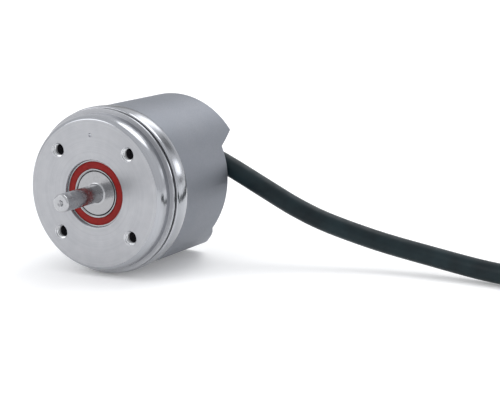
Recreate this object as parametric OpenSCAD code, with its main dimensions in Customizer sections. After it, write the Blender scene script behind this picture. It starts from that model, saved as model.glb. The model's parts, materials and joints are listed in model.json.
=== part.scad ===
// Miniature rotary encoder lying on its side, with its cable.
// Origin: centre of the flange's front face. +Y runs along the shaft into the body, +Z is up.

/* [Flange] */
// Diameter of the centring spigot behind the front face
spigot_d = 34.9; // [34.4:0.1:35.6]
// Distance from the front face to the step behind the spigot
spigot_h = 3.7; // [3.2:0.1:5]
// Width of the chamfer round the front face
face_chamfer = 1.05; // [0.4:0.05:1.4]
// Diameter of the thin clamping lip
lip_d = 36.9; // [36.2:0.1:37.8]
// Width of the clamping lip
lip_w = 0.5; // [0.3:0.1:0.9]
// Diameter at the bottom of the clamping groove
groove_d = 34.4; // [33.6:0.1:35]
// Width of the clamping groove
groove_w = 0.7; // [0.5:0.1:1.2]
// Diameter of the polished bead behind the groove
bead_d = 37.5; // [37:0.1:39]
// Width of the polished bead
bead_w = 4.3; // [3.4:0.1:6]
// Thickness of the flange plate behind the tapped holes
plate_t = 6.5; // [6.1:0.1:7.5]

/* [Fixing holes] */
// Diameter of the circle that the tapped holes lie on
hole_pcd = 26; // [23:0.5:28]
// Number of tapped holes
hole_count = 4; // [3:1:6]
// Nominal diameter of the thread
thread_d = 3; // [2:0.5:3]
// Diameter of the tapping core
core_d = 2.5; // [1.6:0.1:2.6]
// Depth of the tapped holes
hole_depth = 5.2; // [4:0.1:5.4]
// Turn of the hole pattern from the diagonals, in degrees
pattern_turn = 1.6; // [-10:0.1:10]

/* [Shaft] */
// Diameter of the shaft that the user clamps on
shaft_d = 4; // [3:0.5:6]
// Length of the shaft in front of the flange face
shaft_out = 12.5; // [8:0.5:25]
// Chamfer on the tip of the shaft
tip_chamfer = 0.3; // [0.1:0.05:0.5]
// Fillet where the shaft grows out of its collar
collar_fillet = 0.5; // [0.2:0.05:0.8]

/* [Bearings] */
// Bore of the front ball bearing
front_bore_d = 10; // [9:0.5:10]
// Outside diameter of the front ball bearing
front_outer_d = 15; // [15:0.5:17]
// Bore of the rear ball bearing
rear_bore_d = 5; // [4:0.5:5]
// Outside diameter of the rear ball bearing
rear_outer_d = 11; // [11:0.5:13]
// Width of either bearing
bearing_w = 4; // [4:0.1:4.4]
// Depth of the front bearing below the flange face
bearing_recess = 0.7; // [0.4:0.1:1.2]

/* [Housing cap] */
// Outside diameter of the cap where it meets the bead
cap_d = 36.9; // [36.5:0.1:38.4]
// Outside diameter of the cap at its rear rim
cap_rear_d = 36.5; // [35.8:0.1:38]
// Length from the front face to the rear of the cap
body_l = 34.2; // [34:0.1:44]
// Wall of the cap
cap_wall = 1.5; // [1.2:0.1:1.8]
// Radial clearance between the cap and the flange that it is pushed on
cap_clearance = 0.05; // [0.02:0.01:0.1]
// Radius of the wall behind the cable recess
recess_r = 13; // [12.5:0.1:14]

/* [Code disc and boards] */
// Diameter of the code disc
disc_d = 26.4; // [20:0.1:26.8]
// Thickness of the code disc
disc_t = 0.3; // [0.1:0.05:0.6]
// Number of slots drawn in the code disc
disc_slots = 60; // [24:1:90]
// Thickness of the circuit boards
board_t = 1.2; // [0.8:0.1:1.6]
// Diameter of the circuit boards
board_d = 33; // [32.4:0.1:33.4]
// Gap between the two circuit boards
board_gap = 2.2; // [1.8:0.1:3]

/* [Cable] */
// Diameter of the cable
cable_d = 4.5; // [4:0.1:4.8]
// Diameter of one insulated core
core_wire_d = 0.9; // [0.7:0.05:1]
// Mean radius of the coil of spare cable
coil_r = 25; // [23:0.5:26]

/* [Hidden] */
$fn = 96;
EPS = 0.01;
floor_z = -bead_d / 2;

// Places along the flange, from the front face back
lip_y = spigot_h;
groove_y = lip_y + lip_w;
bead_y = groove_y + groove_w;
cap_y = bead_y + bead_w;
cap_seat_l = 3.4;
cap_seat_y = cap_y + cap_seat_l;
cap_inner_r = cap_d / 2 - cap_wall;
seat_r = cap_inner_r - cap_clearance;
ring_inner_r = 14;
oring_d = 0.9;
oring_y = cap_y + 1.3;
oring_groove_depth = 0.65;

// Front bearing, its seat and the shaft steps that carry it
front_y = bearing_recess;
front_end_y = front_y + bearing_w;
front_ball_r = 0.6;
front_ball_count = 14;
raceway_clearance = 0.02;
raceway_depth = 0.1;
seal_t = 0.5;
seal_gap = 0.07;
seal_step = 0.32;
shoulder_h = 0.6;
shoulder_gap = 0.8;
web_y = front_end_y + shoulder_gap;
web_t = 3;
web_bore_r = 4.6;
collar_recess = 0.2;
collar_y = front_y + collar_recess;

// Rear bearing and the wave spring in front of it
spring_h = 1.2;
rear_ball_r = 0.79;
rear_ball_count = 8;
rear_y = web_y + web_t + spring_h;
rear_end_y = rear_y + bearing_w;
hub_end_y = rear_end_y + 0.5;
clip_t = 0.4;

// Code disc on its hub
disc_bore_r = 3.5;
hub_y = rear_end_y + 1.5;
disc_seat_t = 1.1;
disc_y = hub_y + disc_seat_t;
clamp_t = 0.7;
hub_l = 3.8;
shaft_rear_y = hub_y + hub_l;
hub_bore_r = 2;
track_r = disc_d / 2 - 1.8;
track_w = 1.7;

// Boards, their spacers and the optics
optics_gap = 0.4;
led_r = 1.5;
led_hub_gap = 0.9;
hub_r = track_r - led_r - led_hub_gap;
lens_r = 1.7;
lens_t = 0.9;
holder_end_y = disc_y - 0.9;
reticle_t = 0.5;
array_t = 1.7;
reticle_y = disc_y + disc_t + optics_gap;
array_y = reticle_y + reticle_t;
sensor_board_y = array_y + array_t;
main_board_y = sensor_board_y + board_t + board_gap;
spacer_r = 1.25;
spacer_circle_r = 15;
spacer_angles = [30, 150, 270];
board_screw_r = 0.8;
board_screw_bite = 3;

// Socket on the back of the main board for the cable's cores
socket_x = -2.5;
socket_z = -12.6;
socket_l = 11;
wire_pitch = 1.2;
plug_y = main_board_y + board_t + 1.6;

// Cable outlet in the cap's recess
exit_y = body_l - 4.2;
exit_z = 4.5;
boss_r = 3.2;
boss_x = recess_r - 0.2;
grommet_neck_r = 2.65;
grommet_flange_r = 2.95;
grommet_flange_t = 1;
ferrule_wall = 0.4;
ferrule_l = 3.2;
sheath_end_x = 4.5;

// Coil of spare cable: three turns below and two above, held by two ties
tie_t = 0.6;
tie_w = 2.5;
tie_angles = [-10, 135];
coil_pitch = 4.65;
coil_rise = 4.05;
coil_x = 125.7;
coil_y = 34.9;
coil_z = floor_z + tie_t + cable_d / 2;

// Route of the free cable, from inside the cap to the first turn of the coil
cable_route = [
    [sheath_end_x, exit_y, exit_z], [9, exit_y, exit_z], [13, exit_y, exit_z],
    [17, exit_y + 0.2, exit_z - 1.6], [21, exit_y + 0.6, exit_z - 3.6],
    [27, exit_y + 1.3, -2.2], [33, exit_y + 2.7, -5.5], [40, exit_y + 4.6, -8.6],
    [51, 37.6, -12.1], [63, 38.6, -14.3], [76, 38, -15.9],
    [86, 36.6, -16.3], [92, 33.1, -16.3], [95.6, 29.3, -16.1], [97.84, 24.76, -15.9]
];
// Route of the tail, from the last turn of the coil to the stripped end
tail_route = [
    [100.05, 25.56, -11.3], [101.82, 18.79, -11.2], [104.89, 11.79, -11.4], [109.05, 6.06, -12.9],
    [113.8, 2.2, -15.0], [118.98, 0.35, -16.4], [123.18, -0.02, -16.5]
];
tail_end = tail_route[len(tail_route) - 1];
tail_end_turn = 95;
tail_sleeve_l = 8;
lead_l = 26;
lead_count = 8;
lead_spread = 2.6;
lead_pitch = 0.46;
lead_row = 0.55;

// ---- helpers ----

// Turns a profile of [radius, y] points about the Y axis
module turned(points) {
    rotate([-90, 0, 0]) rotate_extrude() polygon(points);
}

// Round bar along +Y that starts at y, on the axis
module bar_y(r, y, l) {
    translate([0, y, 0]) rotate([-90, 0, 0]) cylinder(r = r, h = l);
}

// Round bar along +X through (y, z)
module bar_x(r, x, l, y, z) {
    translate([x, y, z]) rotate([0, 90, 0]) cylinder(r = r, h = l);
}

// Block from its low corner
module block(low, size) {
    translate(low) cube(size);
}

// Places children at radius r and the given angle about the Y axis, 0 on +X and 90 on +Z
module at_angle(angle, r) {
    rotate([0, -angle, 0]) translate([r, 0, 0]) children();
}

// Point on a smooth curve through four points, at t from 0 to 1 between the middle two
function blend4(a, b, c, d, t) =
    0.5 * (2 * b + (c - a) * t + (2 * a - 5 * b + 4 * c - d) * t * t
        + (3 * b - a - 3 * c + d) * t * t * t);

function route_point(route, i, t) =
    let (n = len(route) - 1)
    blend4(route[max(i - 1, 0)], route[i], route[min(i + 1, n)], route[min(i + 2, n)], t);

// A route with two rings in each of its spans
function smooth_route(route) = concat(
    [for (i = [0:len(route) - 2], t = [0, 0.5]) route_point(route, i, t)],
    [route[len(route) - 1]]
);

function unit(v) = v / norm(v);

function heading(line, i) = unit(line[min(i + 1, len(line) - 1)] - line[max(i - 1, 0)]);

// Sideways direction at each point from i on, carried along the line without twist
function carried_sides(line, i, side) =
    i == len(line) ? [] :
    let (
        ahead = heading(line, i),
        here = unit(side - (side * ahead) * ahead)
    )
    concat([here], carried_sides(line, i + 1, here));

// Solid tube swept along a route that starts level
module swept_tube(route, r, sides) {
    line = smooth_route(route);
    n = len(line);
    across = carried_sides(line, 0, cross(heading(line, 0), [0, 0, 1]));
    rings = [
        for (i = [0:n - 1])
        let (side = across[i], up = cross(side, heading(line, i)))
        for (k = [0:sides - 1])
        line[i] + r * (cos(360 * (k + 0.5) / sides) * side + sin(360 * (k + 0.5) / sides) * up)
    ];
    skin = [
        for (i = [0:n - 2], k = [0:sides - 1])
        let (next = (k + 1) % sides)
        [i * sides + k, (i + 1) * sides + k, (i + 1) * sides + next, i * sides + next]
    ];
    first = [[for (k = [0:sides - 1]) k]];
    last = [[for (k = [sides - 1:-1:0]) (n - 1) * sides + k]];
    polyhedron(points = rings, faces = concat(skin, first, last), convexity = 4);
}

// ---- flange ----

// Bead outline: round front edge, level crown, then a slow fall to the cap's diameter
function bead_outline() =
    let (r = bead_d / 2, fall = (bead_d - cap_d) / 2, level = bead_w * 0.55, steps = 6)
    concat(
        [[r - 0.25, bead_y], [r - 0.07, bead_y + 0.1], [r, bead_y + 0.3], [r, bead_y + level]],
        [for (i = [1:steps]) [r - fall * pow(i / steps, 2), bead_y + level + (bead_w - level) * i / steps]]
    );

function flange_outline() =
    let (
        spigot_r = spigot_d / 2,
        lip_r = lip_d / 2,
        front_seat_r = front_outer_d / 2,
        rear_seat_r = rear_outer_d / 2,
        oring_w = oring_d * 1.4,
        mouth = 0.12,
        chamfer_fall = 0.22
    )
    concat(
        [
            [front_seat_r + mouth, 0], [spigot_r - face_chamfer, 0],
            [spigot_r - face_chamfer / 2, chamfer_fall], [spigot_r - 0.12, 0.55],
            [spigot_r, 0.8], [spigot_r, spigot_h],
            [lip_r - 0.08, lip_y], [lip_r, lip_y + 0.08],
            [lip_r, groove_y - 0.08], [lip_r - 0.08, groove_y],
            [groove_d / 2, groove_y], [groove_d / 2, bead_y]
        ],
        bead_outline(),
        [
            [seat_r, cap_y],
            [seat_r, oring_y], [seat_r - oring_groove_depth, oring_y],
            [seat_r - oring_groove_depth, oring_y + oring_w], [seat_r, oring_y + oring_w],
            [seat_r, cap_seat_y - 0.3], [seat_r - 0.3, cap_seat_y],
            [ring_inner_r, cap_seat_y], [ring_inner_r, plate_t],
            [hub_r, plate_t], [hub_r, hub_end_y - 0.3], [hub_r - 0.3, hub_end_y],
            [rear_seat_r, hub_end_y], [rear_seat_r, web_y + web_t],
            [web_bore_r, web_y + web_t], [web_bore_r, web_y],
            [front_seat_r - 0.6, web_y], [front_seat_r - 0.6, front_end_y],
            [front_seat_r, front_end_y], [front_seat_r, mouth]
        ]
    );

module tapped_hole() {
    chamfer = (thread_d - core_d) / 2 + 0.15;
    bar_y(core_d / 2, -EPS, hole_depth);
    turned([[0, -EPS], [core_d / 2 + chamfer, -EPS], [core_d / 2, chamfer], [0, chamfer]]);
    turned([[0, hole_depth - 2 * EPS], [core_d / 2, hole_depth - 2 * EPS], [0, hole_depth + 0.6]]);
}

module flange() {
    dimple_r = 0.45;
    color("silver") difference() {
        turned(flange_outline());
        for (i = [0:hole_count - 1])
            at_angle(45 + pattern_turn + i * 360 / hole_count, hole_pcd / 2) tapped_hole();
        // Locating dimple on the hole circle
        at_angle(93.5, hole_pcd / 2) turned([[0, -EPS], [dimple_r, -EPS], [0, dimple_r]]);
        for (a = spacer_angles)
            at_angle(a, spacer_circle_r)
            bar_y(board_screw_r, cap_seat_y - board_screw_bite, board_screw_bite + EPS);
    }
}

// ---- shaft and bearings ----

function fillet_points(r, y) = [
    for (i = [0:6])
    let (a = 15 * i)
    [r + collar_fillet * (1 - cos(a)), y - collar_fillet * (1 - sin(a))]
];

module shaft() {
    r = shaft_d / 2;
    collar_r = front_bore_d / 2;
    shoulder_r = collar_r + shoulder_h;
    rear_r = rear_bore_d / 2;
    neck_r = rear_r + 0.7;
    edge = 0.12;
    centre_r = min(0.7, r / 2);
    color("gainsboro") turned(concat(
        [[0, -shaft_out + centre_r], [centre_r, -shaft_out], [r - tip_chamfer, -shaft_out],
            [r, -shaft_out + tip_chamfer]],
        fillet_points(r, collar_y),
        [
            [collar_r - edge, collar_y], [collar_r, collar_y + edge],
            [collar_r, front_end_y], [shoulder_r, front_end_y],
            [shoulder_r, front_end_y + shoulder_h - 0.1],
            [neck_r, front_end_y + shoulder_h - 0.1], [neck_r, rear_y],
            [rear_r, rear_y], [rear_r, rear_end_y],
            [rear_r - 0.3, rear_end_y], [rear_r - 0.3, rear_end_y + clip_t],
            [rear_r, rear_end_y + clip_t], [rear_r, hub_y - 0.5],
            [hub_bore_r, hub_y - 0.5], [hub_bore_r, shaft_rear_y - 0.2],
            [hub_bore_r - 0.2, shaft_rear_y], [0, shaft_rear_y]
        ]
    ));
}

// The balls run midway through a bearing's section
function ball_circle_r(bore_d, outer_d) = (bore_d + outer_d) / 4;

module raceway(bore_d, outer_d, ball_r) {
    rotate([-90, 0, 0]) rotate_extrude()
        translate([ball_circle_r(bore_d, outer_d), bearing_w / 2])
        circle(r = ball_r + raceway_clearance, $fn = 48);
}

module outer_ring(y, bore_d, outer_d, ball_r) {
    r = outer_d / 2;
    land = ball_circle_r(bore_d, outer_d) + ball_r - raceway_depth;
    step = land + (r - land) / 2;
    translate([0, y, 0]) difference() {
        turned([
            [step, 0], [r - 0.1, 0], [r, 0.1], [r, bearing_w - 0.1], [r - 0.1, bearing_w],
            [step, bearing_w], [step, bearing_w - seal_t], [land, bearing_w - seal_t],
            [land, seal_t], [step, seal_t]
        ]);
        raceway(bore_d, outer_d, ball_r);
    }
}

module inner_ring(y, bore_d, outer_d, ball_r) {
    r = bore_d / 2;
    land = ball_circle_r(bore_d, outer_d) - ball_r + raceway_depth;
    step = land - seal_step;
    edge = min(0.3, (step - r) / 2);
    shoulder_y = seal_t + seal_gap;
    translate([0, y, 0]) difference() {
        turned([
            [r + edge, 0], [step, 0], [step, shoulder_y], [land, shoulder_y],
            [land, bearing_w - shoulder_y], [step, bearing_w - shoulder_y], [step, bearing_w],
            [r + edge, bearing_w], [r, bearing_w - edge], [r, edge]
        ]);
        raceway(bore_d, outer_d, ball_r);
    }
}

module balls(y, bore_d, outer_d, ball_r, count) {
    for (i = [0:count - 1])
        at_angle(i * 360 / count, ball_circle_r(bore_d, outer_d))
        translate([0, y + bearing_w / 2, 0]) sphere(r = ball_r, $fn = 48);
}

module cage(y, bore_d, outer_d, ball_r, count) {
    pitch_r = ball_circle_r(bore_d, outer_d);
    reach = ball_r - raceway_depth - 0.1;
    half_w = ball_r + 0.25;
    translate([0, y, 0]) difference() {
        turned([
            [pitch_r - reach, bearing_w / 2 - half_w], [pitch_r + reach, bearing_w / 2 - half_w],
            [pitch_r + reach, bearing_w / 2 + half_w], [pitch_r - reach, bearing_w / 2 + half_w]
        ]);
        for (i = [0:count - 1])
            at_angle(i * 360 / count, pitch_r - 2 * reach)
            bar_x(ball_r + 0.06, 0, 4 * reach, bearing_w / 2, 0);
    }
}

// Ring-shaped covers at both faces of a bearing, clipped in its outer ring
module covers(y, bore_d, outer_d, ball_r, t) {
    pitch_r = ball_circle_r(bore_d, outer_d);
    land = pitch_r + ball_r - raceway_depth;
    outside = land + (outer_d / 2 - land) / 2;
    inside = pitch_r - ball_r + raceway_depth - seal_step + seal_gap;
    for (face_y = [seal_t - t, bearing_w - seal_t])
        translate([0, y + face_y, 0])
        turned([[inside, 0], [outside, 0], [outside, t], [inside, t]]);
}

module front_bearing_outer() {
    color("lightgray") outer_ring(front_y, front_bore_d, front_outer_d, front_ball_r);
}

module front_bearing_inner() {
    color("whitesmoke") inner_ring(front_y, front_bore_d, front_outer_d, front_ball_r);
}

module front_bearing_balls() {
    color("white") balls(front_y, front_bore_d, front_outer_d, front_ball_r, front_ball_count);
}

module front_bearing_cage() {
    color("tan") cage(front_y, front_bore_d, front_outer_d, front_ball_r, front_ball_count);
}

module front_bearing_seals() {
    color("firebrick") covers(front_y, front_bore_d, front_outer_d, front_ball_r, seal_t - 0.05);
}

module rear_bearing_outer() {
    color("lightgray") outer_ring(rear_y, rear_bore_d, rear_outer_d, rear_ball_r);
}

module rear_bearing_inner() {
    color("whitesmoke") inner_ring(rear_y, rear_bore_d, rear_outer_d, rear_ball_r);
}

module rear_bearing_balls() {
    color("white") balls(rear_y, rear_bore_d, rear_outer_d, rear_ball_r, rear_ball_count);
}

module rear_bearing_cage() {
    color("tan") cage(rear_y, rear_bore_d, rear_outer_d, rear_ball_r, rear_ball_count);
}

module rear_bearing_shields() {
    color("silver") covers(rear_y, rear_bore_d, rear_outer_d, rear_ball_r, 0.3);
}

// Wave washer that pushes the rear outer ring away from the web
module preload_spring() {
    t = 0.25;
    steps = 48;
    waves = 3;
    outside = rear_outer_d / 2 - 0.15;
    inside = outside - 1;
    mid = web_y + web_t + spring_h / 2;
    swing = (spring_h - t) / 2;
    points = [
        for (i = [0:steps - 1])
        let (a = 360 * i / steps, y = mid + swing * sin(waves * a))
        for (corner = [[inside, -1], [outside, -1], [outside, 1], [inside, 1]])
        [corner[0] * cos(a), y + corner[1] * t / 2, corner[0] * sin(a)]
    ];
    faces = [
        for (i = [0:steps - 1], k = [0:3])
        let (j = (i + 1) % steps, m = (k + 1) % 4)
        [4 * i + k, 4 * i + m, 4 * j + m, 4 * j + k]
    ];
    color("slategray") polyhedron(points = points, faces = faces, convexity = 4);
}

// Open retaining ring in the groove behind the rear bearing
module shaft_clip() {
    outside = rear_bore_d / 2 + 0.7;
    slot_w = 2.4;
    color("dimgray") difference() {
        bar_y(outside, rear_end_y, clip_t);
        bar_y(rear_bore_d / 2 - 0.3, rear_end_y - EPS, clip_t + 2 * EPS);
        block([-slot_w / 2, rear_end_y - EPS, -outside], [slot_w, clip_t + 2 * EPS, outside]);
    }
}

// ---- code disc ----

module disc_hub() {
    flange_r = disc_bore_r + 3;
    color("khaki") difference() {
        turned([
            [hub_bore_r, hub_y], [flange_r, hub_y], [flange_r, disc_y],
            [disc_bore_r, disc_y], [disc_bore_r, shaft_rear_y], [hub_bore_r, shaft_rear_y]
        ]);
        grub_bar(disc_bore_r + 1);
    }
}

// Space of the grub screw through the hub's sleeve
module grub_bar(outer_r) {
    grub_r = 0.7;
    translate([0, disc_y + disc_t + clamp_t + grub_r + 0.15, 0])
        translate([0, 0, hub_bore_r]) cylinder(r = grub_r, h = outer_r - hub_bore_r);
}

module hub_grub_screw() {
    color("black") grub_bar(disc_bore_r - 0.2);
}

module code_disc() {
    half_angle = 90 / disc_slots;
    low = track_r - track_w / 2;
    high = track_r + track_w / 2;
    index_low = low - 1.6;
    color("lightsteelblue") translate([0, disc_y + disc_t, 0]) rotate([90, 0, 0])
        linear_extrude(disc_t) difference() {
            circle(r = disc_d / 2);
            circle(r = disc_bore_r);
            for (i = [0:disc_slots - 1])
                rotate(i * 360 / disc_slots) polygon([
                    [low * cos(half_angle), -low * sin(half_angle)],
                    [high * cos(half_angle), -high * sin(half_angle)],
                    [high * cos(half_angle), high * sin(half_angle)],
                    [low * cos(half_angle), low * sin(half_angle)]
                ]);
            translate([index_low - 0.5, -0.3]) square([1, 0.6]);
        }
}

module disc_clamp_ring() {
    y = disc_y + disc_t;
    color("goldenrod") turned([
        [disc_bore_r, y], [disc_bore_r + 2.4, y], [disc_bore_r + 2.4, y + clamp_t],
        [disc_bore_r, y + clamp_t]
    ]);
}

// ---- optics ----

module led_holder() {
    holder_w = 6;
    low_z = hub_r + 0.6;
    holder_h = min(3.8, sqrt(pow(ring_inner_r, 2) - pow(holder_w / 2, 2)) - low_z - 0.2);
    color("dimgray") difference() {
        block([-holder_w / 2, plate_t, low_z], [holder_w, holder_end_y - plate_t, holder_h]);
        translate([0, 0, track_r]) bar_y(led_r, plate_t + 2, holder_end_y);
        translate([0, 0, track_r]) bar_y(lens_r, holder_end_y - lens_t, lens_t + EPS);
    }
}

module led() {
    color("mistyrose") translate([0, 0, track_r]) {
        bar_y(led_r, plate_t + 2, 3);
        bar_y(led_r - 0.2, plate_t + 5 - EPS, holder_end_y - lens_t - plate_t - 5 - 0.3);
    }
}

module condenser_lens() {
    bulge = 0.25;
    color("azure") translate([0, holder_end_y - lens_t, track_r]) turned([
        [0, 0], [lens_r, 0], [lens_r, lens_t - bulge], [lens_r * 0.7, lens_t - bulge / 3],
        [0, lens_t]
    ]);
}

module reticle() {
    color("lightcyan") block([-2.2, reticle_y, track_r - 1.9], [4.4, reticle_t, 3.6]);
}

module photo_array() {
    color("dimgray") block([-2.8, array_y, track_r - 2.2], [5.6, array_t, 4.4]);
}

// ---- boards ----

module board(y, hole_r) {
    flat = board_d / 2 - 0.8;
    color("seagreen") difference() {
        bar_y(board_d / 2, y, board_t);
        if (hole_r > 0) bar_y(hole_r, y - EPS, board_t + 2 * EPS);
        block([-board_d, y - EPS, flat], [2 * board_d, board_t + 2 * EPS, board_d]);
        for (a = spacer_angles)
            at_angle(a, spacer_circle_r) bar_y(board_screw_r, y - EPS, board_t + 2 * EPS);
    }
}

module sensor_board() {
    board(sensor_board_y, disc_bore_r + 1.2);
}

module main_board() {
    board(main_board_y, 0);
}

// Small parts on the back of the sensor board: two amplifiers and rows of resistors
module sensor_board_parts() {
    y = sensor_board_y + board_t;
    color("black") for (x = [-9.4, 5.4]) block([x, y, 2.4], [4, 1.1, 5]);
    color("tan") for (i = [0:4]) block([-6.4 + 2.8 * i, y, -9.4], [1.6, 0.5, 0.8]);
    color("tan") for (i = [0:3]) block([-5.2 + 2.8 * i, y, 10.2], [0.8, 0.5, 1.6]);
}

module spacers(y, l) {
    for (a = spacer_angles)
        at_angle(a, spacer_circle_r) difference() {
            bar_y(spacer_r, y, l);
            bar_y(board_screw_r, y - EPS, l + 2 * EPS);
        }
}

module lower_spacers() {
    color("gold") spacers(cap_seat_y, sensor_board_y - cap_seat_y);
}

module upper_spacers() {
    color("gold") spacers(sensor_board_y + board_t, board_gap);
}

// Ten-way pin header that joins the two boards
module board_header() {
    y = sensor_board_y + board_t;
    color("dimgray") block([-6.4, y, -7.4], [12.8, board_gap, 2.4]);
}

// Line driver, regulator, capacitors and crystal on the back of the main board
module main_board_parts() {
    y = main_board_y + board_t;
    color("black") block([-3, y, -1.8], [6, 1.5, 4.4]);
    color("black") block([-12.4, y, -5], [3.4, 1.2, 3]);
    color("silver") block([-6.8, y, 9], [4, 1.2, 2]);
    color("tan") for (i = [0:3]) block([-6 + 2.4 * i, y, -6.4], [1.2, 0.6, 1.8]);
    color("goldenrod") block([2, y, 8.4], [3.4, 1.4, 2.2]);
}

module board_screws() {
    head_r = 1.3;
    head_t = 0.9;
    shank_l = main_board_y + board_t - cap_seat_y + board_screw_bite - 0.4;
    head_y = main_board_y + board_t;
    color("silver") for (a = spacer_angles) at_angle(a, spacer_circle_r) difference() {
        union() {
            bar_y(head_r, head_y, head_t);
            bar_y(board_screw_r, head_y - shank_l, shank_l + EPS);
        }
        block([-head_r, head_y + head_t - 0.4, -0.2], [2 * head_r, 1, 0.4]);
    }
}

module wire_socket() {
    y = main_board_y + board_t;
    wall = 0.6;
    color("ivory") difference() {
        block([socket_x - socket_l / 2, y, socket_z], [socket_l, 3, 4]);
        block(
            [socket_x - socket_l / 2 + wall, plug_y, socket_z + wall],
            [socket_l - 2 * wall, 3, 4 - 2 * wall]
        );
    }
}

module wire_plug() {
    wall = 0.6;
    gap = 0.05;
    color("white") block(
        [socket_x - socket_l / 2 + wall + gap, plug_y, socket_z + wall + gap],
        [socket_l - 2 * (wall + gap), 2.2, 4 - 2 * (wall + gap)]
    );
}

// Eight cores that leave the sheath in four rows of two and turn down one after another
module core_wires() {
    wire_r = core_wire_d / 2 - 0.1;
    row_pitch = 0.75;
    column = 0.55;
    end_y = plug_y + 2.2;
    core_colours = ["red", "white", "green", "yellow", "saddlebrown", "pink", "gray", "blue"];
    for (i = [0:lead_count - 1]) {
        x = socket_x + wire_pitch * ((lead_count - 1) / 2 - i);
        y = exit_y + (i % 2 == 0 ? column : -column);
        z = exit_z + (floor(i / 2) - 1.5) * row_pitch;
        color(core_colours[i]) swept_tube([
            [sheath_end_x, y, z], [x + 1.1, y, z], [x, y - 0.3, z - 1.3],
            [x, exit_y - 1.4, (z + socket_z) / 2], [x, end_y + 1.7, socket_z + 4.4],
            [x, end_y + 0.8, socket_z + 2.4], [x, end_y, socket_z + 2]
        ], wire_r, 6);
    }
}

// ---- cap and cable outlet ----

// Side view of the cable recess as [y, z] points; a margin grows it inwards into the cap
function recess_outline(margin) = [
    [body_l - 6.9 - margin, 8.07 + margin], [body_l - 8.4 - margin, -10.8],
    [body_l - 6.6 - margin, -12.1 - margin], [body_l - 3.7 - margin / 2, -14.7 - margin],
    [body_l, -16.6 - margin], [body_l + 2, -17.4 - margin], [body_l + 2, 11.7 + margin],
    [body_l, 10.9 + margin]
];

module recess_space(margin) {
    near_x = 5;
    difference() {
        translate([near_x - margin, 0, 0]) rotate([90, 0, 90])
            linear_extrude(cap_d) polygon(recess_outline(margin));
        bar_y(recess_r - margin, 0, 2 * body_l);
    }
}

module housing_cap() {
    r = cap_d / 2;
    rear_r = cap_rear_d / 2;
    rim = 0.35;
    color("darkgray") difference() {
        union() {
            difference() {
                turned([
                    [0, cap_y], [r - 0.08, cap_y], [r, cap_y + 0.1], [rear_r, body_l - rim],
                    [rear_r - rim * 0.3, body_l - rim * 0.3], [rear_r - rim, body_l], [0, body_l]
                ]);
                difference() {
                    bar_y(cap_inner_r, cap_y - EPS, body_l - cap_wall - cap_y);
                    recess_space(cap_wall);
                }
                recess_space(0);
            }
            bar_x(boss_r, boss_x - 3.4, 3.4, exit_y, exit_z);
        }
        bar_x(grommet_neck_r, 0, recess_r + 5, exit_y, exit_z);
    }
}

module cap_oring() {
    middle_r = seat_r - oring_groove_depth + oring_d / 2;
    color("black") translate([0, oring_y + oring_d * 0.7, 0]) rotate([-90, 0, 0])
        rotate_extrude() translate([middle_r, 0]) circle(r = oring_d / 2, $fn = 32);
}

module grommet() {
    wall = 3.4;
    color("black") difference() {
        union() {
            bar_x(grommet_flange_r, boss_x, grommet_flange_t, exit_y, exit_z);
            bar_x(grommet_neck_r, boss_x - wall - grommet_flange_t, wall + 2 * grommet_flange_t,
                exit_y, exit_z);
        }
        bar_x(cable_d / 2, 0, recess_r + 5, exit_y, exit_z);
    }
}

module cable_ferrule() {
    color("silver") difference() {
        bar_x(cable_d / 2 + ferrule_wall, sheath_end_x + 0.4, ferrule_l, exit_y, exit_z);
        bar_x(cable_d / 2, sheath_end_x, ferrule_l + 1, exit_y, exit_z);
    }
}

// ---- cable, coil and stripped end ----

module cable() {
    color("darkslategray") swept_tube(cable_route, cable_d / 2, 10);
}

// Section of the coil as [radius, height] points about its lowest turn; a margin grows it
function coil_outline(margin) =
    let (r = cable_d / 2, m = margin)
    [
        [coil_r - coil_pitch - m * 0.4, -r - m], [coil_r + coil_pitch + m * 0.4, -r - m],
        [coil_r + coil_pitch + r + m, -m * 0.3], [coil_r + coil_pitch + r * 0.7 + m, r * 0.9],
        [coil_r + coil_pitch * 0.5 + m * 0.4 + r * 0.5, coil_rise + r * 0.87 + m * 0.9],
        [coil_r + coil_pitch * 0.5, coil_rise + r + m], [coil_r - coil_pitch * 0.5, coil_rise + r + m],
        [coil_r - coil_pitch * 0.5 - m * 0.4 - r * 0.5, coil_rise + r * 0.87 + m * 0.9],
        [coil_r - coil_pitch - r * 0.7 - m, r * 0.9], [coil_r - coil_pitch - r - m, -m * 0.3]
    ];

module cable_coil() {
    color("darkslategray") translate([coil_x, coil_y, coil_z])
        rotate_extrude() polygon(coil_outline(0));
}

module cable_tie(angle) {
    head = [2.6, 3.6, 3];
    outside = coil_r + coil_pitch + cable_d / 2 + tie_t;
    translate([coil_x, coil_y, coil_z]) rotate(angle) {
        translate([0, tie_w / 2, 0]) rotate([90, 0, 0]) linear_extrude(tie_w) difference() {
            polygon(coil_outline(tie_t));
            polygon(coil_outline(0));
        }
        translate([outside - 0.3, -head[1] / 2, -head[2] / 2]) cube(head);
    }
}

module cable_tie_1() {
    color("black") cable_tie(tie_angles[0]);
}

module cable_tie_2() {
    color("black") cable_tie(tie_angles[1]);
}

module cable_tail() {
    color("darkslategray") swept_tube(tail_route, cable_d / 2, 10);
}

// Places children at the end of the tail, with local +Y along the cable
module at_tail_end() {
    translate(tail_end) rotate(-tail_end_turn) children();
}

module tail_sleeve() {
    color("black") at_tail_end() bar_y(cable_d / 2, 0, tail_sleeve_l);
}

module lead(i, r, from, l) {
    place = i - (lead_count - 1) / 2;
    row = i % 2 == 0 ? lead_row : -lead_row;
    at_tail_end() translate([place * lead_pitch, tail_sleeve_l, row]) rotate(-place * lead_spread)
        rotate([-90, 0, 0]) translate([0, 0, from]) cylinder(r = r, h = l, $fn = 24);
}

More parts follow.
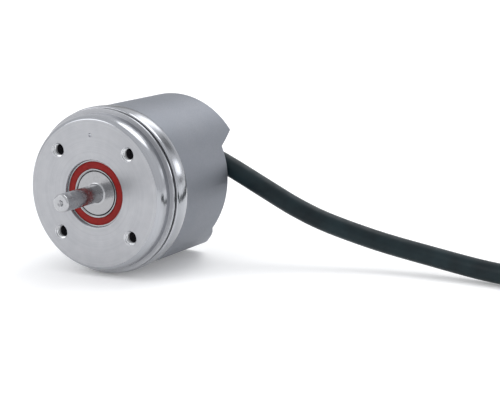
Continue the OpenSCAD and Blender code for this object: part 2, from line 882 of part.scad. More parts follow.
module tail_leads() {
    core_colours = ["red", "white", "green", "yellow", "saddlebrown", "pink", "gray", "blue"];
    for (i = [0:lead_count - 1]) color(core_colours[i]) lead(i, core_wire_d / 2, 0, lead_l);
}

module lead_ferrules() {
    color("silver") for (i = [0:lead_count - 1]) lead(i, core_wire_d / 2 - 0.1, lead_l, 6);
}

flange();
shaft();
front_bearing_outer();
front_bearing_inner();
front_bearing_balls();
front_bearing_cage();
front_bearing_seals();
rear_bearing_outer();
rear_bearing_inner();
rear_bearing_balls();
rear_bearing_cage();
rear_bearing_shields();
preload_spring();
shaft_clip();
disc_hub();
code_disc();
disc_clamp_ring();
hub_grub_screw();
led_holder();
led();
condenser_lens();
reticle();
photo_array();
sensor_board();
sensor_board_parts();
lower_spacers();
upper_spacers();
board_header();
main_board();
main_board_parts();
board_screws();
wire_socket();
wire_plug();
core_wires();
housing_cap();
cap_oring();
grommet();
cable_ferrule();
cable();
cable_coil();
cable_tie_1();
cable_tie_2();
cable_tail();
tail_sleeve();
tail_leads();
lead_ferrules();
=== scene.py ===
import json
import math

import bmesh
import bpy
from mathutils import Matrix, Vector

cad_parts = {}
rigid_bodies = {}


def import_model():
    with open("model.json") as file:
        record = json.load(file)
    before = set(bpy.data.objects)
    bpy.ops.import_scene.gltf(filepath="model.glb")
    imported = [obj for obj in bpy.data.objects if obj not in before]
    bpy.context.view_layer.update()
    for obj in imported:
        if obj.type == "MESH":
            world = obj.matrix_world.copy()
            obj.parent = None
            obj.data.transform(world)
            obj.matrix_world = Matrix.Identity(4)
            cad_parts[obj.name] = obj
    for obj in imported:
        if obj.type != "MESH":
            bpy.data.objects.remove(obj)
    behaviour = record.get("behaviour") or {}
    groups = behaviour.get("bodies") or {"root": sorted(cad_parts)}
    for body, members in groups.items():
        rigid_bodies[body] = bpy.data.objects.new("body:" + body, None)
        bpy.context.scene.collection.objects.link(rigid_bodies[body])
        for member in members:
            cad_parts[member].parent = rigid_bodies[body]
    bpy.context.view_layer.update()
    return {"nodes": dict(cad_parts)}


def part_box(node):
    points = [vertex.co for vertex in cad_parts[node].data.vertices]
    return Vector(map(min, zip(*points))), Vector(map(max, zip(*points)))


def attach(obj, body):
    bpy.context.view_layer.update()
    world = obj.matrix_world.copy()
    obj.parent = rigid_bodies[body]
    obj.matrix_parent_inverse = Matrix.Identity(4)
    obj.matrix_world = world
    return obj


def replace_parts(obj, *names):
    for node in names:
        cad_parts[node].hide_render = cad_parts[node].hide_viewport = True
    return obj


MM = 0.001

for start_object in list(bpy.data.objects):
    bpy.data.objects.remove(start_object)
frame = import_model()
nodes = frame["nodes"]

# ---- sizes in millimetres, as in the CAD source ----

FLANGE_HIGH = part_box("flange")[1]
CAP_LOW, CAP_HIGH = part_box("housing_cap")
BEAD_R = FLANGE_HIGH.x / MM
CAP_Y = CAP_LOW.y / MM
BODY_L = CAP_HIGH.y / MM
SHAFT_TIP_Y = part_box("shaft")[0].y / MM
SHAFT_REAR_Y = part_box("shaft")[1].y / MM
FLOOR_Z = -BEAD_R

SPIGOT_R = 17.45
SPIGOT_H = 3.7
LIP_R = 18.45
LIP_END_Y = 4.2
GROOVE_R = 17.2
BEAD_Y = 4.9
SEAT_R = 16.9
PLATE_T = 6.5
RING_INNER_R = 14.0
HUB_R = 9.0
HUB_END_Y = FLANGE_HIGH.y / MM
CAP_SEAT_Y = 12.6

HOLE_CIRCLE_R = 13.0
HOLE_COUNT = 4
PATTERN_TURN = 1.6
THREAD_R = 1.5
CORE_R = 1.25
THREAD_PITCH = 0.5
HOLE_DEPTH = 5.2
DIMPLE_ANGLE = 93.5
SPACER_ANGLES = (30, 150, 270)
SPACER_CIRCLE_R = 15.0
BOARD_SCREW_R = 0.8

SHAFT_R = 2.0
COLLAR_R = 5.0
COLLAR_Y = 0.9
BEARING_Y = 0.7
BEARING_W = 4.0
BEARING_OUTER_R = 7.5
BEARING_PITCH_R = 6.25
BALL_R = 0.6
RACE_DEPTH = 0.1
SEAL_GAP = 0.07
SEAL_STEP = 0.32

CABLE_D = 4.5
EXIT_Y = BODY_L - 4.2
EXIT_Z = 4.5
BOSS_X = 12.8
COIL_CENTRE = (125.7, 34.9)
COIL_START = 200
COIL_R = 25.0
COIL_PITCH = 4.65
COIL_RISE = 4.05
TIE_T = 0.6
TIE_W = 2.5
TIE_ANGLES = (-10, 135)
COIL_Z = FLOOR_Z + TIE_T + CABLE_D / 2

CABLE_ROUTE = [
    (4.5, EXIT_Y, EXIT_Z), (9, EXIT_Y, EXIT_Z), (13, EXIT_Y, EXIT_Z),
    (17, 30.2, 2.9), (21, 30.6, 0.9), (27, 31.3, -2.2), (33, 32.7, -5.5),
    (40, 34.6, -8.6), (51, 37.6, -12.1), (63, 38.6, -14.3), (76, 38, -15.9),
    (86, 36.6, -16.3), (92, 33.1, -16.3), (95.6, 29.3, -16.1), (97.84, 24.76, -15.9),
]
TAIL_ROUTE = [
    (100.05, 25.56, -11.3), (101.82, 18.79, -11.2), (104.89, 11.79, -11.4), (109.05, 6.06, -12.9),
    (113.8, 2.2, -15), (118.98, 0.35, -16.4), (123.18, -0.02, -16.5),
]


# ---- camera ----

def camera_axes(azimuth, elevation):
    """Right, up and backward directions of a camera turned about the vertical, then raised."""
    a, e = math.radians(azimuth), math.radians(elevation)
    back = Vector((math.sin(a) * math.cos(e), -math.cos(a) * math.cos(e), math.sin(e)))
    right = Vector((math.cos(a), math.sin(a), 0))
    return right, back.cross(right), back


def make_camera():
    """Long lens, a little right of the shaft and just above the object."""
    right, up, back = camera_axes(29.95, 11.15)
    place = (400 * back + 34.25 * right - 1.33 * up) * MM
    data = bpy.data.cameras.new("camera")
    data.sensor_width = 36
    data.lens = 131.4
    camera = bpy.data.objects.new("camera", data)
    bpy.context.scene.collection.objects.link(camera)
    camera.matrix_world = Matrix.Translation(place) @ Matrix((right, up, back)).transposed().to_4x4()
    bpy.context.scene.camera = camera


# ---- shapes ----

def through_four(a, b, c, d, t):
    """Point on a smooth curve between b and c."""
    square = 2 * a - 5 * b + 4 * c - d
    cube = 3 * b - a - 3 * c + d
    return 0.5 * (2 * b + (c - a) * t + square * t ** 2 + cube * t ** 3)


def smooth_route(route, per_span=3):
    points = [Vector(p) for p in route]
    last = len(points) - 1
    out = []
    for i in range(last):
        a, b, c, d = (points[min(max(k, 0), last)] for k in (i - 1, i, i + 1, i + 2))
        out += [through_four(a, b, c, d, k / per_span) for k in range(per_span)]
    return out + [points[-1]]


def ease(x, start, end):
    """0 before start, 1 after end, and smooth between."""
    t = min(max((x - start) / (end - start), 0), 1)
    return t * t * (3 - 2 * t)


def coil_point(turned):
    """Place of the coiled cable after so many degrees: three turns below going in, two above coming out."""
    inward = ease(turned, 312, 356) + ease(turned, 672, 716)
    climb = math.radians(60) * ease(turned, 975, 1030)
    if turned < 975:
        r, z = COIL_R + COIL_PITCH * (1 - inward), 0
    else:
        r = COIL_R - COIL_PITCH * math.cos(climb) + COIL_PITCH * ease(turned, 1392, 1436)
        z = COIL_PITCH * math.sin(climb)
    for crossing in (1053, 1413, 1773):
        z += 0.55 * (ease(turned, crossing - 45, crossing - 22) - ease(turned, crossing + 27, crossing + 50))
    if turned > 1773:
        z = COIL_PITCH * math.sin(climb) + 0.55
    a = math.radians(turned + COIL_START)
    return Vector((COIL_CENTRE[0] + r * math.cos(a), COIL_CENTRE[1] + r * math.sin(a), COIL_Z + z))


def link(obj, body, material=None):
    """Puts a piece in the scene on its body."""
    bpy.context.scene.collection.objects.link(obj)
    if material is not None:
        obj.data.materials.append(material)
    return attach(obj, body)


def curve_piece(name, points, radius, resolution=6, radii=None):
    """Round bar along points in millimetres."""
    data = bpy.data.curves.new(name, "CURVE")
    data.dimensions = "3D"
    data.bevel_depth = radius * MM
    data.bevel_resolution = 8
    data.use_fill_caps = True
    data.resolution_u = resolution
    spline = data.splines.new("BEZIER")
    spline.bezier_points.add(len(points) - 1)
    for i, (bezier, point) in enumerate(zip(spline.bezier_points, points)):
        bezier.co = Vector(point) * MM
        bezier.handle_left_type = bezier.handle_right_type = "AUTO"
        if radii:
            bezier.radius = radii[i]
    return bpy.data.objects.new(name, data)


def softened(outline, steps=4):
    """A closed outline of (r, y, rounding) corners with each corner rounded."""
    out = []
    count = len(outline)
    for i, (r, y, rounding) in enumerate(outline):
        here = Vector((r, y))
        before = Vector(outline[i - 1][:2]) - here
        after = Vector(outline[(i + 1) % count][:2]) - here
        reach = min(rounding, before.length * 0.45, after.length * 0.45)
        if reach < 1e-4:
            out.append((r, y))
            continue
        start, end = here + before.normalized() * reach, here + after.normalized() * reach
        for k in range(steps + 1):
            t = k / steps
            p = start * (1 - t) ** 2 + here * 2 * t * (1 - t) + end * t ** 2
            out.append((p.x, p.y))
    return out


def finish_mesh(mesh, sharp_degrees=32):
    work = bmesh.new()
    work.from_mesh(mesh)
    bmesh.ops.remove_doubles(work, verts=work.verts, dist=1e-7)
    bmesh.ops.recalc_face_normals(work, faces=work.faces)
    work.to_mesh(mesh)
    work.free()
    for polygon in mesh.polygons:
        polygon.use_smooth = True
    mesh.set_sharp_from_angle(angle=math.radians(sharp_degrees))


def lathe_mesh(name, outline, segments=192, along=None):
    """Closed outline of (r, y) points in millimetres, turned about Y, or about another axis matrix."""
    work = bmesh.new()
    rings = []
    for k in range(segments):
        a = 2 * math.pi * k / segments
        rings.append([work.verts.new(Vector((r * math.cos(a), y, r * math.sin(a))) * MM) for r, y in outline])
    count = len(outline)
    for k in range(segments):
        one, two = rings[k], rings[(k + 1) % segments]
        for i in range(count):
            j = (i + 1) % count
            if outline[i][0] < 1e-6 and outline[j][0] < 1e-6:
                continue
            work.faces.new((one[i], one[j], two[j], two[i]))
    bmesh.ops.remove_doubles(work, verts=work.verts, dist=1e-7)
    bmesh.ops.dissolve_degenerate(work, edges=work.edges, dist=1e-8)
    mesh = bpy.data.meshes.new(name)
    work.to_mesh(mesh)
    work.free()
    if along is not None:
        mesh.transform(along)
    finish_mesh(mesh)
    return mesh


def lathe(name, outline, body, material, segments=192, along=None):
    obj = bpy.data.objects.new(name, lathe_mesh(name, softened(outline), segments, along))
    return link(obj, body, material)


def about_x(x, y, z):
    """Matrix that lays a lathe's axis along +X through (y, z), with its y counted from x."""
    return Matrix.Translation(Vector((x, y, z)) * MM) @ Matrix.Rotation(math.radians(-90), 4, "Z")


def at_angle(angle, radius):
    """Matrix that moves the Y axis out to a radius at an angle, 0 on +X and 90 on +Z."""
    a = math.radians(angle)
    return Matrix.Translation(Vector((math.cos(a), 0, math.sin(a))) * radius * MM)


def cut_away(obj, cutters):
    """Takes the cutters' space out of obj and removes them."""
    for cutter in cutters:
        bpy.context.scene.collection.objects.link(cutter)
        modifier = obj.modifiers.new("cut", "BOOLEAN")
        modifier.operation = "DIFFERENCE"
        modifier.solver = "EXACT"
        modifier.object = cutter
    bpy.context.view_layer.update()
    evaluated = obj.evaluated_get(bpy.context.evaluated_depsgraph_get())
    mesh = bpy.data.meshes.new_from_object(evaluated)
    obj.modifiers.clear()
    obj.data = mesh
    for cutter in cutters:
        bpy.data.objects.remove(cutter)
    finish_mesh(mesh)


# ---- materials ----

class Surface:
    """Builds one procedural material step by step around a Principled shader."""

    def __init__(self, name, colour, metallic=0.0, roughness=0.5, **sockets):
        self.material = bpy.data.materials.new(name)
        self.material.use_nodes = True
        self.tree = self.material.node_tree
        self.tree.nodes.clear()
        self.shader = self.add("ShaderNodeBsdfPrincipled")
        output = self.add("ShaderNodeOutputMaterial")
        self.join(self.shader.outputs[0], output.inputs[0])
        self.colour = colour
        self.roughness = roughness
        self.shader.inputs["Base Color"].default_value = (*colour, 1)
        self.shader.inputs["Metallic"].default_value = metallic
        self.shader.inputs["Roughness"].default_value = roughness
        for key, value in sockets.items():
            self.shader.inputs[key.replace("_", " ")].default_value = value
        self.coordinates = self.add("ShaderNodeTexCoord").outputs["Object"]
        self.height = None

    def add(self, kind, **settings):
        node = self.tree.nodes.new(kind)
        for key, value in settings.items():
            setattr(node, key, value)
        return node

    def join(self, a, b):
        self.tree.links.new(a, b)

    def radius_from_axis(self):
        """Distance from the Y axis, in metres."""
        flat = self.add("ShaderNodeVectorMath", operation="MULTIPLY")
        flat.inputs[1].default_value = (1, 0, 1)
        self.join(self.coordinates, flat.inputs[0])
        length = self.add("ShaderNodeVectorMath", operation="LENGTH")
        self.join(flat.outputs[0], length.inputs[0])
        return length.outputs["Value"]

    def noise(self, size_mm, detail=3.0, stretch=(1, 1, 1), rough=0.5):
        """Noise with features of about size_mm, stretched along axes by dividing their scale."""
        mapping = self.add("ShaderNodeMapping")
        mapping.inputs["Scale"].default_value = [1 / (size_mm * MM * s) for s in stretch]
        self.join(self.coordinates, mapping.inputs["Vector"])
        noise = self.add("ShaderNodeTexNoise")
        noise.inputs["Scale"].default_value = 1
        noise.inputs["Detail"].default_value = detail
        noise.inputs["Roughness"].default_value = rough
        self.join(mapping.outputs[0], noise.inputs["Vector"])
        return noise.outputs["Fac"]

    def rings(self, pitch_mm, detail=2.0):
        """Concentric noise about the Y axis, as a lathe tool leaves."""
        scaled = self.add("ShaderNodeMath", operation="DIVIDE")
        scaled.inputs[1].default_value = pitch_mm * MM
        self.join(self.radius_from_axis(), scaled.inputs[0])
        noise = self.add("ShaderNodeTexNoise", noise_dimensions="1D")
        noise.inputs["Scale"].default_value = 1
        noise.inputs["Detail"].default_value = detail
        self.join(scaled.outputs[0], noise.inputs["W"])
        return noise.outputs["Fac"]

    def along_axis(self):
        """Place along the Y axis, in metres."""
        split = self.add("ShaderNodeSeparateXYZ")
        self.join(self.coordinates, split.inputs[0])
        return split.outputs["Y"]

    def bands(self, pitch_mm, detail=2.0):
        """Noise along the Y axis only, as turning or grinding round the axis leaves."""
        scaled = self.add("ShaderNodeMath", operation="DIVIDE")
        scaled.inputs[1].default_value = pitch_mm * MM
        self.join(self.along_axis(), scaled.inputs[0])
        noise = self.add("ShaderNodeTexNoise", noise_dimensions="1D")
        noise.inputs["Scale"].default_value = 1
        noise.inputs["Detail"].default_value = detail
        self.join(scaled.outputs[0], noise.inputs["W"])
        return noise.outputs["Fac"]

    def ramp(self, value, low, high, start=0.35, end=0.65):
        """Maps a value between two numbers."""
        node = self.add("ShaderNodeMapRange")
        node.inputs["From Min"].default_value = start
        node.inputs["From Max"].default_value = end
        node.inputs["To Min"].default_value = low
        node.inputs["To Max"].default_value = high
        self.join(value, node.inputs["Value"])
        return node.outputs["Result"]

    def tint(self, value, other, amount=1.0, start=0.35, end=0.65):
        """Base colour goes towards other where value is high."""
        mix = self.add("ShaderNodeMix", data_type="RGBA")
        self.join(self.ramp(value, 0, amount, start, end), mix.inputs["Factor"])
        source = self.shader.inputs["Base Color"]
        if source.is_linked:
            self.join(source.links[0].from_socket, mix.inputs["A"])
        else:
            mix.inputs["A"].default_value = (*self.colour, 1)
        mix.inputs["B"].default_value = (*other, 1)
        self.join(mix.outputs["Result"], source)
        return self

    def gloss(self, value, low, high):
        """Roughness goes from low to high with value."""
        self.join(self.ramp(value, low, high), self.shader.inputs["Roughness"])
        return self

    def bump(self, value, height_mm, strength=1.0):
        """Adds relief of about height_mm."""
        node = self.add("ShaderNodeBump")
        node.inputs["Distance"].default_value = height_mm * MM
        node.inputs["Strength"].default_value = strength
        self.join(value, node.inputs["Height"])
        if self.height is not None:
            self.join(self.height, node.inputs["Normal"])
        self.height = node.outputs["Normal"]
        self.join(self.height, self.shader.inputs["Normal"])
        return self

    def turned(self, amount):
        """Stretches highlights across the marks that run round the Y axis."""
        self.shader.inputs["Anisotropic"].default_value = amount
        self.shader.inputs["Anisotropic Rotation"].default_value = 0.25
        tangent = self.add("ShaderNodeTangent", direction_type="RADIAL", axis="Y")
        self.join(tangent.outputs[0], self.shader.inputs["Tangent"])
        return self


def turned_face():
    s = Surface("turned_face", (0.40, 0.405, 0.425), 1.0, 0.34)
    s.turned(0.55)
    s.tint(s.rings(0.22), (0.34, 0.345, 0.365), 0.5)
    s.tint(s.noise(2.4, 2), (0.46, 0.465, 0.48), 0.35)
    s.gloss(s.rings(0.6), 0.3, 0.42)
    s.bump(s.rings(0.16, 1), 0.004)
    return s.material


def polished_rim():
    s = Surface("polished_rim", (0.42, 0.43, 0.455), 1.0, 0.17)
    s.turned(0.2)
    s.tint(s.bands(0.3), (0.36, 0.37, 0.395), 0.5)
    s.gloss(s.noise(1.8, 3, (1, 0.2, 1)), 0.14, 0.23)
    s.bump(s.bands(0.25, 1), 0.003)
    return s.material


def thread_metal_painted_depth_shade():
    # Paler than the flange's face metal: painted brightening so the first thread turns at the hole mouth read
    # bright.
    s = Surface("thread_metal_painted_depth_shade", (0.70, 0.71, 0.73), 1.0, 0.25)
    s.tint(s.noise(0.5, 3), (0.5, 0.51, 0.53), 0.5)
    # Near black from 0.8 to 1.7 mm into the hole: painted shade in the recess.
    s.tint(s.along_axis(), (0.012, 0.012, 0.014), 1, 0.8 * MM, 1.7 * MM)
    s.gloss(s.noise(0.3, 2), 0.2, 0.4)
    return s.material


def blasted_aluminium():
    s = Surface("blasted_aluminium", (0.255, 0.27, 0.3), 1.0, 0.55)
    s.tint(s.noise(7, 3), (0.285, 0.297, 0.325), 0.6)
    s.tint(s.noise(0.12, 2), (0.21, 0.22, 0.243), 0.5)
    s.gloss(s.noise(0.25, 3), 0.5, 0.6)
    s.bump(s.noise(0.09, 2), 0.006)
    return s.material


def ground_steel():
    s = Surface("ground_steel", (0.46, 0.465, 0.48), 1.0, 0.16)
    s.turned(0.5)
    s.tint(s.bands(0.18), (0.34, 0.345, 0.36), 0.5)
    s.gloss(s.noise(1.1, 3), 0.14, 0.28)
    s.bump(s.bands(0.1, 1), 0.002)
    return s.material


def bearing_steel():
    s = Surface("bearing_steel", (0.36, 0.36, 0.37), 1.0, 0.16)
    s.turned(0.4)
    s.tint(s.rings(0.15), (0.3, 0.3, 0.31), 0.4)
    s.gloss(s.noise(0.8, 2), 0.12, 0.24)
    return s.material


def sheet_steel():
    s = Surface("sheet_steel", (0.6, 0.6, 0.61), 1.0, 0.28)
    s.tint(s.noise(1.2, 4, (1, 0.15, 1)), (0.48, 0.48, 0.5), 0.6)
    s.gloss(s.noise(0.7, 3), 0.2, 0.38)
    s.bump(s.noise(0.3, 3, (1, 0.1, 1)), 0.002)
    return s.material


def black_steel():
    # Dark steel for the grub screw. The same material is also painted shade on the shaft collar's wall in the
    # gap before the bearing's inner ring.
    s = Surface("black_steel", (0.03, 0.03, 0.034), 0.6, 0.42)
    s.tint(s.noise(0.5, 4), (0.09, 0.09, 0.1), 0.5)
    s.gloss(s.noise(0.4, 2), 0.35, 0.5)
    return s.material


def red_rubber():
    s = Surface("red_rubber", (0.235, 0.009, 0.007), 0.0, 0.45, Specular_IOR_Level=0.18)
    s.tint(s.noise(0.9, 4), (0.17, 0.006, 0.006), 0.6)
    s.gloss(s.noise(0.5, 3), 0.36, 0.5)
    s.bump(s.noise(0.2, 3), 0.006)
    return s.material


def black_rubber():
    s = Surface("black_rubber", (0.014, 0.015, 0.017), 0.0, 0.55, Specular_IOR_Level=0.4)
    s.tint(s.noise(1.5, 4), (0.03, 0.031, 0.034), 0.6)
    s.gloss(s.noise(0.6, 3), 0.45, 0.65)
    s.bump(s.noise(0.2, 3), 0.01)
    return s.material


def moulded_plastic(name, colour, other, grain_mm=0.25, roughness=0.45):
    s = Surface(name, colour, 0.0, roughness)
    s.tint(s.noise(2.0, 4), other, 0.6)
    s.gloss(s.noise(0.6, 3), roughness - 0.07, roughness + 0.07)
    s.bump(s.noise(grain_mm, 2), 0.006)
    return s.material


def cable_sheath():
    s = Surface("cable_sheath", (0.006, 0.012, 0.015), 0.0, 0.4, Specular_IOR_Level=0.17)
    s.tint(s.noise(6, 3), (0.012, 0.025, 0.030), 0.7)
    s.gloss(s.noise(1.6, 4), 0.3, 0.46)
    s.bump(s.noise(2.6, 2), 0.05, 0.6)
    s.bump(s.noise(0.25, 2), 0.006)
    return s.material


def brass():
    s = Surface("brass", (0.72, 0.52, 0.22), 1.0, 0.25)
    s.tint(s.noise(1.0, 4), (0.58, 0.4, 0.16), 0.6)
    s.gloss(s.noise(0.5, 3), 0.18, 0.34)
    s.bump(s.bands(0.12, 1), 0.003)
    return s.material


def disc_nickel():
    s = Surface("disc_nickel", (0.66, 0.65, 0.6), 1.0, 0.12)
    s.tint(s.rings(1.4), (0.54, 0.53, 0.49), 0.5)
    s.gloss(s.noise(1.5, 3), 0.08, 0.18)
    return s.material


def clear_resin(name, colour):
    s = Surface(name, colour, 0.0, 0.06, Transmission_Weight=0.9, IOR=1.5)
    s.gloss(s.noise(0.8, 2), 0.03, 0.09)
    s.bump(s.noise(0.7, 1), 0.003)
    return s.material


def circuit_board():
    s = Surface("circuit_board", (0.012, 0.11, 0.04), 0.0, 0.32, Coat_Weight=0.3)
    checks = s.add("ShaderNodeTexBrick")
    mapping = s.add("ShaderNodeMapping")
    mapping.inputs["Rotation"].default_value = (math.radians(90), 0, 0)
    s.join(s.coordinates, mapping.inputs["Vector"])
    s.join(mapping.outputs[0], checks.inputs["Vector"])
    checks.inputs["Scale"].default_value = 420
    checks.inputs["Mortar Size"].default_value = 0.12
    s.tint(checks.outputs["Fac"], (0.03, 0.2, 0.075), 0.8, 0.2, 0.8)
    s.tint(s.noise(3, 3), (0.01, 0.08, 0.03), 0.4)
    s.gloss(s.noise(0.6, 2), 0.26, 0.4)
    s.bump(checks.outputs["Fac"], 0.02)
    return s.material


def insulation(name, colour):
    s = Surface(name, colour, 0.0, 0.4)
    s.tint(s.noise(1.4, 3), tuple(0.75 * c for c in colour), 0.6)
    s.gloss(s.noise(0.5, 2), 0.34, 0.48)
    s.bump(s.noise(0.4, 2), 0.005)
    return s.material


def tinned_copper():
    s = Surface("tinned_copper", (0.7, 0.69, 0.66), 1.0, 0.26)
    s.tint(s.noise(0.4, 4), (0.55, 0.54, 0.5), 0.6)
    s.gloss(s.noise(0.3, 2), 0.18, 0.36)
    s.bump(s.noise(0.25, 2, (1, 3, 1)), 0.01)
    return s.material


# ---- stage and light ----

def make_floor():
    """Wide pale floor, so that the view never reaches its edge."""
    half = 6.0
    mesh = bpy.data.meshes.new("floor")
    corners = [(-half, -half), (half, -half), (half, half), (-half, half)]
    mesh.from_pydata([(x, y, FLOOR_Z * MM) for x, y in corners], [], [(0, 1, 2, 3)])
    floor = bpy.data.objects.new("floor", mesh)
    bpy.context.scene.collection.objects.link(floor)
    s = Surface(
        "floor_paper", (0.93, 0.93, 0.93), 0.0, 0.7, Specular_IOR_Level=0.25,
        Emission_Color=(1, 1, 1, 1), Emission_Strength=0.16)
    s.tint(s.noise(60, 2), (0.92, 0.92, 0.925), 0.5)
    mesh.materials.append(s.material)


# Soft patches of the studio as (direction, half width in degrees, brightness)
STUDIO_PATCHES = [
    ((-0.47, 0.85, 0.2), 8, 0.35),
    ((-0.115, 0.85, 0.514), 8, 2.6),
    ((0.275, 0.85, 0.449), 8, 0.28),
    ((0.49, 0.85, 0.19), 6, 3.2),
    ((0.52, 0.85, 0.01), 5, 0.25),
]


def make_world():
    """Pale studio: white for the camera, with soft bright and dark patches for the metal to mirror."""
    world = bpy.data.worlds.new("studio")
    bpy.context.scene.world = world
    world.use_nodes = True
    tree = world.node_tree
    tree.nodes.clear()

    def add(kind, **settings):
        node = tree.nodes.new(kind)
        for key, value in settings.items():
            setattr(node, key, value)
        return node

    direction = add("ShaderNodeTexCoord").outputs["Generated"]
    split = add("ShaderNodeSeparateXYZ")
    tree.links.new(direction, split.inputs[0])
    fade = add("ShaderNodeMapRange")
    for key, value in (("From Min", -0.1), ("From Max", 0.9), ("To Min", 0.85), ("To Max", 0.9)):
        fade.inputs[key].default_value = value
    tree.links.new(split.outputs["Z"], fade.inputs["Value"])
    level = fade.outputs["Result"]
    for axis, half_width, brightness in STUDIO_PATCHES:
        dot = add("ShaderNodeVectorMath", operation="DOT_PRODUCT")
        dot.inputs[1].default_value = Vector(axis).normalized()
        tree.links.new(direction, dot.inputs[0])
        inside = add("ShaderNodeMapRange", interpolation_type="SMOOTHSTEP")
        inside.inputs["From Min"].default_value = math.cos(math.radians(half_width * 1.35))
        inside.inputs["From Max"].default_value = math.cos(math.radians(half_width * 0.65))
        tree.links.new(dot.outputs["Value"], inside.inputs["Value"])
        mix = add("ShaderNodeMix", data_type="FLOAT")
        tree.links.new(inside.outputs["Result"], mix.inputs["Factor"])
        tree.links.new(level, mix.inputs["A"])
        mix.inputs["B"].default_value = brightness
        level = mix.outputs["Result"]
    studio = add("ShaderNodeBackground")
    studio.inputs["Color"].default_value = (0.97, 0.98, 1.0, 1)
    tree.links.new(level, studio.inputs["Strength"])
    plain = add("ShaderNodeBackground")
    plain.inputs["Color"].default_value = (1, 1, 1, 1)
    choose = add("ShaderNodeMixShader")
    tree.links.new(add("ShaderNodeLightPath").outputs["Is Camera Ray"], choose.inputs[0])
    tree.links.new(studio.outputs[0], choose.inputs[1])
    tree.links.new(plain.outputs[0], choose.inputs[2])
    tree.links.new(choose.outputs[0], add("ShaderNodeOutputWorld").inputs[0])


def area_light(name, place, target, size, power):
    data = bpy.data.lights.new(name, "AREA")
    data.shape = "DISK"
    data.size = size
    data.energy = power
    light = bpy.data.objects.new(name, data)
    bpy.context.scene.collection.objects.link(light)
    light.location = place
    aim = Vector(target) - Vector(place)
    light.rotation_euler = aim.to_track_quat("-Z", "Y").to_euler()


def make_lights():
    middle = (0.01, 0.015, 0)
    area_light("overhead", (0.15, 0.35, 0.7), middle, 0.6, 2.0)
    area_light("front_left", (-0.5, -0.5, 0.45), middle, 0.6, 1.5)


# ---- flange ----

def flange_outline():
    return [
        (BEARING_OUTER_R + 0.12, 0, 0.03), (16.4, 0, 0.04), (16.58, 0.1, 0.05),
        (17.02, 0.5, 0.3), (SPIGOT_R - 0.06, 1.3, 0.5), (SPIGOT_R, 2.4, 0.3), (SPIGOT_R, SPIGOT_H, 0.04),
        (LIP_R, SPIGOT_H, 0.1), (LIP_R, LIP_END_Y, 0.12), (GROOVE_R, LIP_END_Y, 0.1),
        (GROOVE_R, BEAD_Y, 0.1), (BEAD_R - 0.2, BEAD_Y, 0.12), (BEAD_R, BEAD_Y + 0.45, 0.3),
        (BEAD_R, BEAD_Y + 2.35, 0.8), (BEAD_R - 0.12, BEAD_Y + 3.6, 0.5), (BEAD_R - 0.3, CAP_Y, 0.05),
        (SEAT_R, CAP_Y, 0), (SEAT_R, 10.5, 0.05), (16.25, 10.5, 0.05), (16.25, 11.76, 0.05),
        (SEAT_R, 11.76, 0.05), (SEAT_R, CAP_SEAT_Y, 0.3), (RING_INNER_R, CAP_SEAT_Y, 0.15),
        (RING_INNER_R, PLATE_T, 0.5), (HUB_R, PLATE_T, 0.5), (HUB_R, HUB_END_Y, 0.3),
        (5.5, HUB_END_Y, 0.15), (5.5, 8.5, 0.05), (4.6, 8.5, 0.05), (4.6, 5.5, 0.05),
        (6.9, 5.5, 0.05), (6.9, 4.7, 0.05), (BEARING_OUTER_R, 4.7, 0.05), (BEARING_OUTER_R, 0.12, 0.03),
    ]


def hole_angles():
    return [45 + PATTERN_TURN + 360 * i / HOLE_COUNT for i in range(HOLE_COUNT)]


def cutter(name, outline, angle, radius, segments=48):
    return bpy.data.objects.new(name, lathe_mesh(name, outline, segments, at_angle(angle, radius)))


def make_flange(face, rim, thread):
    obj = bpy.data.objects.new("flange_turned", lathe_mesh("flange_turned", softened(flange_outline()), 256))
    mouth_r = CORE_R + 0.4
    hole = [(0, -1), (mouth_r, -1), (mouth_r, 0), (THREAD_R, 0.16), (THREAD_R, HOLE_DEPTH - 0.2),
            (CORE_R, HOLE_DEPTH), (0, HOLE_DEPTH + 0.6)]
    dimple = [(0, -1), (0.5, -1), (0.45, 0), (0.3, 0.2), (0, 0.3)]
    screw = [(0, CAP_SEAT_Y - 3), (BOARD_SCREW_R, CAP_SEAT_Y - 3), (BOARD_SCREW_R, CAP_SEAT_Y + 1),
             (0, CAP_SEAT_Y + 1)]
    cutters = [cutter("hole", hole, a, HOLE_CIRCLE_R) for a in hole_angles()]
    cutters.append(cutter("dimple", dimple, DIMPLE_ANGLE, HOLE_CIRCLE_R, 24))
    cutters += [cutter("screw", screw, a, SPACER_CIRCLE_R, 24) for a in SPACER_ANGLES]
    bpy.context.scene.collection.objects.link(obj)
    cut_away(obj, cutters)
    bpy.context.scene.collection.objects.unlink(obj)
    for material in (face, rim, thread):
        obj.data.materials.append(material)
    centres = [at_angle(a, HOLE_CIRCLE_R).translation for a in hole_angles()]
    for polygon in obj.data.polygons:
        place = polygon.center
        in_hole = any(math.hypot(place.x - c.x, place.z - c.z) < 1.7 * MM for c in centres)
        flat = polygon.normal.y < -0.98
        if in_hole and not (flat and place.y < 0.05 * MM):
            polygon.material_index = 2
        elif flat or place.y > CAP_Y * MM:
            polygon.material_index = 0
        else:
            polygon.material_index = 1
    link(obj, "stator")
    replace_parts(obj, "flange")


